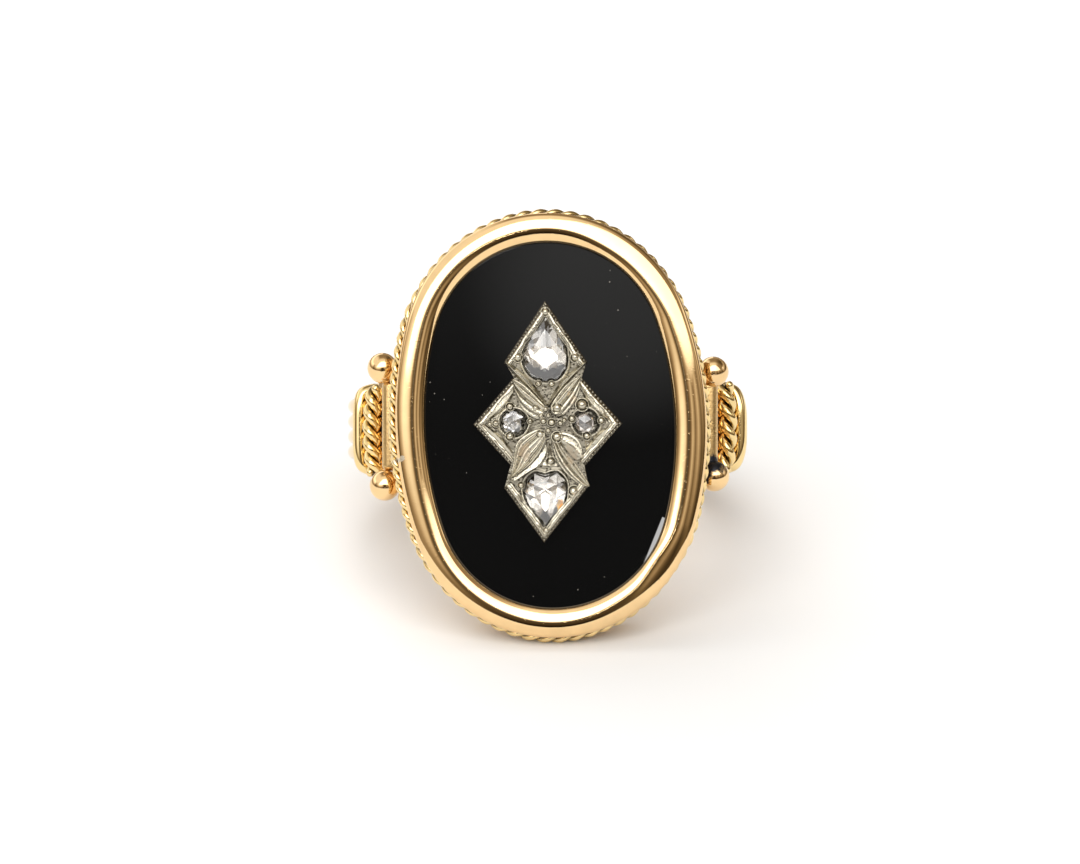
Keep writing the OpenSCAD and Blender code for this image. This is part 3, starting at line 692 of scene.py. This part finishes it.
# The lines inside the beads are cut by hand, and waver by a few hundredths of a millimetre.
wavers = BORDER[:, :1] > 0.15
borders, beads = [], []
for corners, spacing, bead_r in BORDERS:
    path, inwards, places = mitred(corners, 0.08)
    wavy = 0.02 * np.sin(2.9 * places) + 0.014 * np.sin(7.3 * places + 1) * np.sin(1.7 * places)
    flat = path[:, None] + inwards[:, None] * (BORDER[:, :1] + wavy[:, None, None] * wavers)
    rest = BORDER[:, 1:] + np.stack([1.2 * wavy, -4 * wavy], -1)[:, None] * wavers
    borders.append(shell(np.dstack([flat, rest])))
    bead = dome(bead_r, 1.1 * bead_r, 6, 0.0)
    bead = np.column_stack([bead, np.linspace(0.9, 0.3, 6)])
    path, inwards, places = mitred(corners, spacing)
    for p, m in zip(path[1:-1], inwards[1:-1]):
        beads.append(shell(lathe((*(p + BEAD_IN * m), BEAD_Z), bead, 10)))
put("lozenge_borders", borders + beads, cut_silver, ["silver_plaque"])

# Four engraved leaves spread from the plaque's middle over the joints of the lozenges. Each
# lies between two curved edges and is grooved lengthwise, and bright cuts border it.
def smoothly(points, count):
    """A curve through points: cubic runs whose slopes are those of the neighbours' chord."""
    points = np.array(points, float)
    slope = np.gradient(points, axis=0)
    t = np.linspace(0, len(points) - 1, count)
    i = np.minimum(t.astype(int), len(points) - 2)
    s = (t - i)[:, None]
    return ((2 * s ** 3 - 3 * s ** 2 + 1) * points[i] + (s ** 3 - 2 * s ** 2 + s) * slope[i]
            + (3 * s ** 2 - 2 * s ** 3) * points[i + 1] + (s ** 3 - s ** 2) * slope[i + 1])


def blade(first, second, heights, grooves=0, depth=0.0):
    """A leaf between two edges. Across it, the height runs through the given heights, less
    a cosine's grooves that fade at both ends, and its foot stands on the onyx."""
    a, b = smoothly(first, 48), smoothly(second, 48)
    v = np.linspace(0, 1, 41)
    flat = a[:, None] + (b - a)[:, None] * v[None, :, None]
    u = np.linspace(0, 1, 48)[:, None]
    fade = np.sin(np.pi * np.clip(u * 0.94 + 0.03, 0, 1)) ** 0.5
    wave = (0.5 - 0.5 * np.cos(2 * np.pi * grooves * v)) ** 2 if grooves else 0 * v
    z = np.interp(v, np.linspace(0, 1, len(heights)), heights)[None] - depth * fade * wave[None]
    edges = np.clip(np.abs(v - 0.5) * 20 - 9, 0, 1) * 0.5
    deep = np.clip(wave[None] * fade * 0.5 - 0.05 + edges, 0, 1)
    top = np.dstack([flat, z + 0 * u, deep])
    foot = np.dstack([flat[:, ::-10], np.full((48, 5), PLAQUE_Z + GAP), np.full((48, 5), 0.9)])
    return np.hstack([top, foot])


# A leaf has its two edges, the heights across it, and its grooves' number and depth. The bright
# cuts beside the leaves and in the corners have no grooves.
LEAVES = [
    ([(-0.24, 1.02), (-0.95, 1.75), (-1.42, 2.18), (-1.85, 2.42), (-2.02, 2.44)],
     [(-0.41, 0.42), (-0.75, 0.33), (-1.42, 0.78), (-1.77, 1.49), (-2.03, 2.36)],
     [13.05, 13.24, 13.16, 13.2, 13.0], 3, 0.1),
    ([(0.36, 0.4), (0.77, 0.55), (1.3, 1.22), (1.57, 1.85), (1.65, 2.44)],
     [(-0.02, 1.0), (0.3, 1.5), (0.72, 2.02), (1.12, 2.38), (1.6, 2.62)],
     [13.0, 13.2, 13.15, 13.24, 13.05], 3, 0.1),
    ([(-0.45, -0.12), (-1.05, -0.36), (-1.71, -0.84), (-1.89, -1.43), (-1.98, -2.2), (-2.19, -2.87)],
     [(-0.2, -0.68), (-0.52, -1.4), (-0.95, -1.98), (-1.4, -2.36), (-2.1, -2.84)],
     [12.95, 13.16, 13.12, 13.24, 13.18, 13.22], 4, 0.1),
    ([(0.05, -0.8), (0.2, -1.43), (0.45, -2.05), (0.95, -2.67), (1.6, -3.16), (2.06, -3.3)],
     [(0.42, -0.78), (0.83, -1.45), (1.3, -1.95), (1.6, -2.38), (2.0, -2.98), (2.12, -3.24)],
     [13.05, 13.2, 13.14, 13.2, 13.02], 3, 0.09),
    ([(0.12, -0.5), (0.5, -0.4), (0.9, -0.43), (1.36, -0.66), (1.66, -1.14), (1.74, -1.7)],
     [(0.3, -0.7), (0.6, -1.05), (0.95, -1.45), (1.22, -1.72), (1.42, -1.86), (1.68, -1.82)],
     [13.13, 13.17, 13.17, 13.12, 13.0], 2, 0.03),
    ([(-0.15, -0.8), (-0.5, -1.5), (-0.92, -2.02), (-1.38, -2.38), (-2.08, -2.86)],
     [(-0.11, -0.9), (-0.26, -1.6), (-0.63, -2.15), (-1.2, -2.52), (-1.88, -2.98)],
     [13.08, 13.16]),
    ([(-2.44, 3.32), (-1.92, 2.7), (-1.42, 2.22), (-0.95, 1.75), (-0.22, 0.98)],
     [(-2.25, 3.42), (-1.6, 2.92), (-1.0, 2.32), (-0.52, 1.72), (-0.12, 1.1)],
     [12.96, 13.16, 13.02, 12.86]),
    ([(1.76, 3.42), (1.15, 2.88), (0.55, 2.3), (0.12, 1.65), (-0.16, 1.1)],
     [(1.98, 3.32), (1.35, 2.66), (0.78, 2.08), (0.3, 1.48), (-0.06, 0.98)],
     [12.86, 13.02, 13.16, 12.96]),
    ([(-3.62, 0.14), (-2.95, 0.9), (-2.45, 1.45), (-1.98, 1.92)],
     [(-3.45, 0.12), (-2.6, 0.68), (-2.2, 1.12), (-1.95, 1.6)],
     [12.97, 13.05, 12.86]),
    ([(1.78, 1.92), (2.25, 1.42), (2.72, 0.9), (3.38, 0.16)],
     [(1.74, 1.62), (2.0, 1.14), (2.42, 0.68), (3.2, 0.14)],
     [12.97, 13.05, 12.86]),
    ([(-2.04, -1.66), (-2.5, -1.16), (-2.95, -0.7), (-3.6, 0.0)],
     [(-1.98, -1.4), (-2.3, -0.92), (-2.7, -0.48), (-3.42, 0.02)],
     [12.97, 13.05, 12.86]),
    ([(3.36, 0.0), (2.75, -0.66), (2.35, -1.1), (1.92, -1.56)],
     [(3.18, 0.02), (2.5, -0.46), (2.2, -0.8), (1.9, -1.3)],
     [12.97, 13.05, 12.86]),
    ([(-0.05, -0.95), (-0.2, -1.6), (-0.42, -2.15)], [(0.0, -0.95), (0.2, -1.6), (0.42, -2.18)],
     [12.9, 13.0, 12.9], 2, 0.05),
    ([(1.84, -0.78), (1.84, -1.05), (1.9, -1.34)], [(2.22, -0.8), (2.12, -1.05), (1.96, -1.36)],
     [13.02, 12.92]),
]
leaves = [shell(blade(*leaf)) for leaf in LEAVES]
put("engraved_leaves", leaves, cut_silver, ["silver_plaque"])

# The grains: beads of silver raised with a graver from the ground and pressed over the
# stones' edges, or left as ornament in the middle. A ring is punched round each. A grain has
# its place and its radius. Their profile gives the share of the radius, the height in
# millimetres, the height in radii, and the recess.
GRAIN_Z, MIDDLE_GRAIN_Z = 12.96, 13.15
GRAIN = np.array([(1.35, -0.3, 0, 1), (1.33, -0.04, 0, 0.7), (1.22, 0.05, 0, 0.05), (1.1, 0.04, 0, 0.1),
                  (1.02, -0.02, 0, 0.8), (0.93, -0.05, 0, 1), (0.85, 0.04, 0, 0.4), (0.72, 0, 0.5, 0),
                  (0.5, 0, 0.72, 0), (0.25, 0, 0.84, 0), (0, 0, 0.87, 0)])
GRAINS = [
    (-2.13, 0.98, 0.2), (-2.88, 0.09, 0.17), (-2.13, -0.6, 0.22), (1.7, 1.08, 0.3),
    (1.16, 0.34, 0.19), (2.73, 0.24, 0.17), (1.95, -0.58, 0.2), (-0.77, 0.9, 0.17),
    (0.38, 0.9, 0.27), (0.08, 0.13, 0.19), (-0.52, -0.49, 0.21), (0.38, -0.63, 0.26),
    (-1.71, 3.6, 0.23), (1.33, 3.6, 0.23), (-0.25, 6.02, 0.21), (0.03, -1.93, 0.22),
    (-1.54, -3.2, 0.17), (1.27, -3.5, 0.26), (-0.2, -5.6, 0.17), (-0.24, 0.84, 0.14),
    (-0.47, 0.49, 0.14), (-1.05, 0.2, 0.15), (-0.62, 2.2, 0.16), (0.08, 2.18, 0.16),
    (-0.35, 0.2, 0.16), (0.55, 0.1, 0.15), (-0.1, -0.3, 0.14), (-3.2, 0.05, 0.12),
    (0.75, 0.25, 0.12), (-0.1, 0.5, 0.12),
]
grains = []
for gx, gy, r in GRAINS:
    high = MIDDLE_GRAIN_Z if abs(gx) < 0.9 and abs(gy) < 1 else GRAIN_Z
    grain = np.stack([np.maximum(r * GRAIN[:, 0], 0.01), high + GRAIN[:, 1] + r * GRAIN[:, 2],
                      GRAIN[:, 3]], -1)
    grains.append(shell(lathe((gx, gy, 0), grain, 20)))
put("grains", grains, cut_silver, ["silver_plaque"])

# The rose-cut diamonds: flat below, with facets that rise to a point. The foil under them
# shows through. The small ones are smoky, and an orange tint on one facet of the lower one is a painted
# reflection of the gold rim.
diamond, tree, shader = principled("Old cut diamond", IOR=2.42, Transmission_Weight=1.0)
at = node(tree, "TexCoord").outputs["Object"]
cloud = node(tree, "TexNoise", Vector=at, Scale=900.0, Detail=2.0)
tone = blend(tree, cloud.outputs["Fac"], (0.99, 0.97, 0.96), (1.0, 0.99, 0.96))
# The first tint is painted light: an orange reflection of the gold rim, painted into the stone's colour.
TINTS_AND_PAINTED_FLASH = [((0.52, -4.25, 12.9), (0.2, 0.42, 0.8), 0.3, (1.0, 0.42, 0.06)),
         ((-1.92, 0.13, 12.9), (1, 1, 1), 0.0, (0.78, 0.78, 0.8)),
         ((1.9, 0.13, 12.9), (1, 1, 1), 0.0, (0.5, 0.46, 0.43))]
for place, radii, ragged, colour in TINTS_AND_PAINTED_FLASH:
    tone = blend(tree, stained(tree, place, radii, ragged), tone, colour)
feed(tree, shader, Base_Color=tone, Roughness=span(tree, cloud.outputs["Fac"], 0.0, 1.0, 0.0, 0.02))


def rose_cut(stone):
    """A rose cut: a low wall on a girdle of twelve corners, a ring of six corners at a share
    of the way to the apex, and the apex. The crown has three triangles between two corners of
    the ring and the girdle, and one from each side of the ring up to the apex."""
    (sx, sy), apex, height, reach = stone
    turn = np.arange(12) * np.pi / 6
    girdle = np.stack([sx - reach * np.sin(turn), sy + reach * np.cos(turn)], -1)
    ring = apex + (girdle[::2] - apex) * 0.6
    base, wall = POCKET_Z + GAP, 0.2
    crown = height - wall
    places = np.vstack([np.column_stack([girdle, np.full(12, base)]),
                        np.column_stack([girdle, np.full(12, base + wall)]),
                        np.column_stack([ring, np.full(6, base + wall + 0.7 * crown)]),
                        [(*apex, base + height)]])
    i, k = np.arange(6), 12 + 2 * np.arange(6)
    on, last, top = 24 + (i + 1) % 6, 12 + (2 * i + 2) % 12, np.full(6, 30)
    facets = [(k, k + 1, 24 + i), (k + 1, on, 24 + i), (k + 1, last, on), (24 + i, on, top)]
    loop = np.arange(12)
    over = (loop + 1) % 12
    walls = np.stack([loop, over, over + 12, loop + 12], -1)
    return outwards(places, [loop[None, ::-1], walls] + [np.stack(three, -1) for three in facets])


for name, stone in STONES.items():
    put(f"rose_cut_{name}", [rose_cut(stone)], diamond, [f"diamond_{name}"], smooth=False)

# The table, the camera and the light tent. The tent is brightest above and lit on the left,
# and dim with upright folds on the right. The flat onyx and the rim's crest mirror its dark
# opening round the camera, and the onyx a faint glow and a strip of a white card beside it.
# The picture is VIEW_WIDTH across at the onyx, whose middle shows at the picture's pixel ONYX_AT.
CAMERA_UP, DISTANCE, VIEW_WIDTH = np.radians(23.6), 400.0, 57.5
PHOTO_W, PHOTO_H, ONYX_AT = 1080, 864, (550.0, 425.3)
TABLE_CORNERS = [(-0.6, -0.6, 0), (0.6, -0.6, 0), (0.6, 0.6, 0), (-0.6, 0.6, 0)]
sheet = bpy.data.meshes.new("table")
sheet.from_pydata(TABLE_CORNERS, [], [(0, 1, 2, 3)])
table = in_scene("table", sheet)
paper, tree, shader = principled("White table", Roughness=0.7, Specular_IOR_Level=0.2)
grain = node(tree, "TexNoise", Scale=40.0, Detail=2.0, Vector=node(tree, "TexCoord").outputs["Object"])
tone = blend(tree, grain.outputs["Fac"], (0.88, 0.88, 0.88), (0.90, 0.90, 0.90))
feed(tree, shader, Base_Color=tone)
table.data.materials.append(paper)

towards_eye = np.array([0, -np.cos(CAMERA_UP), np.sin(CAMERA_UP)])
view_up = np.cross(towards_eye, SIDEWAYS)
to_right, to_top = np.array(ONYX_AT) - [PHOTO_W / 2, PHOTO_H / 2]
aim = on_face(0, 0, ONYX_TOP) + (to_top * view_up - to_right * SIDEWAYS) * VIEW_WIDTH / PHOTO_W
camera = in_scene("camera", bpy.data.cameras.new("camera"))
camera.data.sensor_width = 36
camera.data.lens = camera.data.sensor_width * DISTANCE / VIEW_WIDTH
camera.data.clip_start, camera.data.clip_end = 0.01, 10
placed = np.eye(4)
placed[:3, :3] = np.stack([SIDEWAYS, view_up, towards_eye], -1)
placed[:3, 3] = (aim + towards_eye * DISTANCE) * MM
camera.matrix_world = Matrix(placed.tolist())
bpy.context.scene.camera = camera

# In a world's shader the Generated coordinates are the direction in which a ray leaves.
world = bpy.data.worlds.new("light tent")
bpy.context.scene.world = world
world.use_nodes = True
tree = world.node_tree
tree.nodes.clear()
ray = node(tree, "TexCoord").outputs["Generated"]


def facing(direction, low, high, from_value, to_value):
    """How far a ray points along a direction, as its dot product mapped between two values."""
    along = node(tree, "VectorMath", operation="DOT_PRODUCT", i0=ray,
                 i1=tuple(float(d) for d in direction))
    return node(tree, "MapRange", interpolation_type="SMOOTHSTEP", Value=along.outputs["Value"],
                From_Min=low, From_Max=high, To_Min=from_value, To_Max=to_value).outputs[0]


# Above: a lid of light, open a little at the back right, and a softbox high in front.
TO_LEFT, TO_FRONT, UPRIGHT = (-1, 0, 0), (0, -1, 0), (0, 0, 1)
lower_edge = joined(tree, "MAXIMUM", *(facing((slant, 0, 1), 0.455, 0.56, 0.0, 3.8)
                                       for slant in (-0.17, 0.08)))
softbox = joined(tree, "MULTIPLY", lower_edge, facing(UPRIGHT, 0.93, 0.975, 1.0, 0.0),
                 facing((0.59, -0.79, -0.15), -0.04, 0.06, 0.0, 1.0),
                 facing((-0.43, -0.89, -0.12), -0.04, 0.08, 0.0, 1.0),
                 facing(TO_LEFT, -0.55, 0.05, 0.62, 1.0))
lid = joined(tree, "MULTIPLY", facing(TO_FRONT, -0.4, 0.1, 0.3, 1.06),
             facing(TO_LEFT, -0.6, -0.1, 0.3, 1.0))
lid = joined(tree, "MAXIMUM", lid, facing(TO_LEFT, 0.1, 0.5, 0.0, 1.05))

# The wall: brighter upwards, with folds. A fold has its turn from the front, in degrees to the
# right, and its light.
FOLDS = [(-120, 1.0), (-90, 0.95), (-75, 0.25), (-60, 0.5), (-45, 0.9), (-30, 0.75), (-17, 0.5), (-8, 0.1),
         (0, 0.05), (9, 0.09), (18, 0.42), (29, 0.12), (41, 0.42), (52, 0.12), (64, 0.32), (75, 0.12),
         (90, 0.8), (105, 0.45), (120, 0.3)]
first_turn, last_turn = FOLDS[0][0], FOLDS[-1][0]
parts = node(tree, "SeparateXYZ", Vector=ray)
turn = joined(tree, "ARCTAN2", parts.outputs["X"], joined(tree, "MULTIPLY", parts.outputs["Y"], -1.0))
folds = node(tree, "ValToRGB", Fac=span(tree, turn, np.radians(first_turn), np.radians(last_turn)))
ramp = folds.color_ramp.elements
for degrees, _ in FOLDS[1:-1]:
    ramp.new((degrees - first_turn) / (last_turn - first_turn))
for stop, (_, light) in zip(ramp, FOLDS):
    stop.color = (light, light, light, 1)
wall = joined(tree, "MULTIPLY", folds.outputs["Color"], facing(UPRIGHT, 0.08, 0.42, 0.42, 1.85))
tent = node(tree, "Mix", i0=facing(UPRIGHT, 0.43, 0.52, 0.0, 1.0), i2=wall, i3=lid).outputs[0]
tent = joined(tree, "MAXIMUM", tent, softbox)

# The card: a bright strip, tilted as the onyx mirrors it along its lower right edge. Its edge and
# upper end are set by the corner at which they show on the onyx, and so is the glow's middle.
CARD_COS, CARD_SIN, CARD_CORNER, GLOW_AT = 0.928, 0.373, (5.98, -4.88), (3.5, 7.2)
CARD_WIDE, CARD_LONG, CARD_LIGHT, SHARP = 0.008, 0.022, 11.0, 0.00005
mirrored = 2 * OUTWARD * (OUTWARD @ towards_eye) - towards_eye
upwards = np.cross(SIDEWAYS, -mirrored)
card_out = CARD_COS * SIDEWAYS - CARD_SIN * upwards
card_up = CARD_SIN * SIDEWAYS + CARD_COS * upwards
camera_at = aim + towards_eye * DISTANCE


def past_onyx(right, up):
    """The way on which the camera looks after a place on the onyx, as in a mirror."""
    look = unit(on_face(right, up, ONYX_TOP) - camera_at)
    return look - 2 * (look @ OUTWARD) * OUTWARD


edge, end = past_onyx(*CARD_CORNER) @ card_out, past_onyx(*CARD_CORNER) @ card_up
card = joined(tree, "MULTIPLY", facing(card_out, edge - SHARP, edge + SHARP, 0.0, 1.0),
              facing(card_out, edge + CARD_WIDE, edge + CARD_WIDE + 0.001, 1.0, 0.0),
              facing(card_up, end - SHARP, end + SHARP, 1.0, 0.0),
              facing(card_up, end - CARD_LONG - 0.0015, end - CARD_LONG, 0.0, CARD_LIGHT),
              facing(mirrored, 0.9, 0.95, 0.0, 1.0))
glow = facing(past_onyx(*GLOW_AT), 0.99977, 1.0, 0.0, 0.4)
tent = joined(tree, "ADD", tent, card, glow)

# Dim light is warm, except in the onyx. What is dull, such as the table, is lit by the tent at
# 0.6 and a lamp from behind on the left. The camera itself sees a plain pale backdrop.
neutral = joined(tree, "MAXIMUM", span(tree, tent, 0.1, 1.1), facing(mirrored, 0.9988, 0.9994, 0.0, 1.0))
tint = blend(tree, neutral, (1.0, 0.78, 0.5), (1.0, 0.985, 0.96))
overhead = facing((-0.25, 0.53, 0.81), 0.82, 1.0, 0.0, 2.75)
bounced = joined(tree, "ADD", joined(tree, "MULTIPLY", tent, 0.6), overhead)
path_of = node(tree, "LightPath").outputs
inside = node(tree, "Background", Color=tint, Strength=tent)
spread_light = node(tree, "Background", Color=(1.0, 0.99, 0.975, 1), Strength=bounced)
inside = node(tree, "MixShader", i0=path_of["Is Diffuse Ray"], i1=inside.outputs[0],
              i2=spread_light.outputs[0])
backdrop = node(tree, "Background", Color=(0.93, 0.93, 0.93, 1), Strength=1.0)
mixed = node(tree, "MixShader", i0=path_of["Is Camera Ray"], i1=inside.outputs[0],
             i2=backdrop.outputs[0])
node(tree, "OutputWorld", Surface=mixed.outputs[0])

bpy.context.scene.view_settings.view_transform = "Standard"
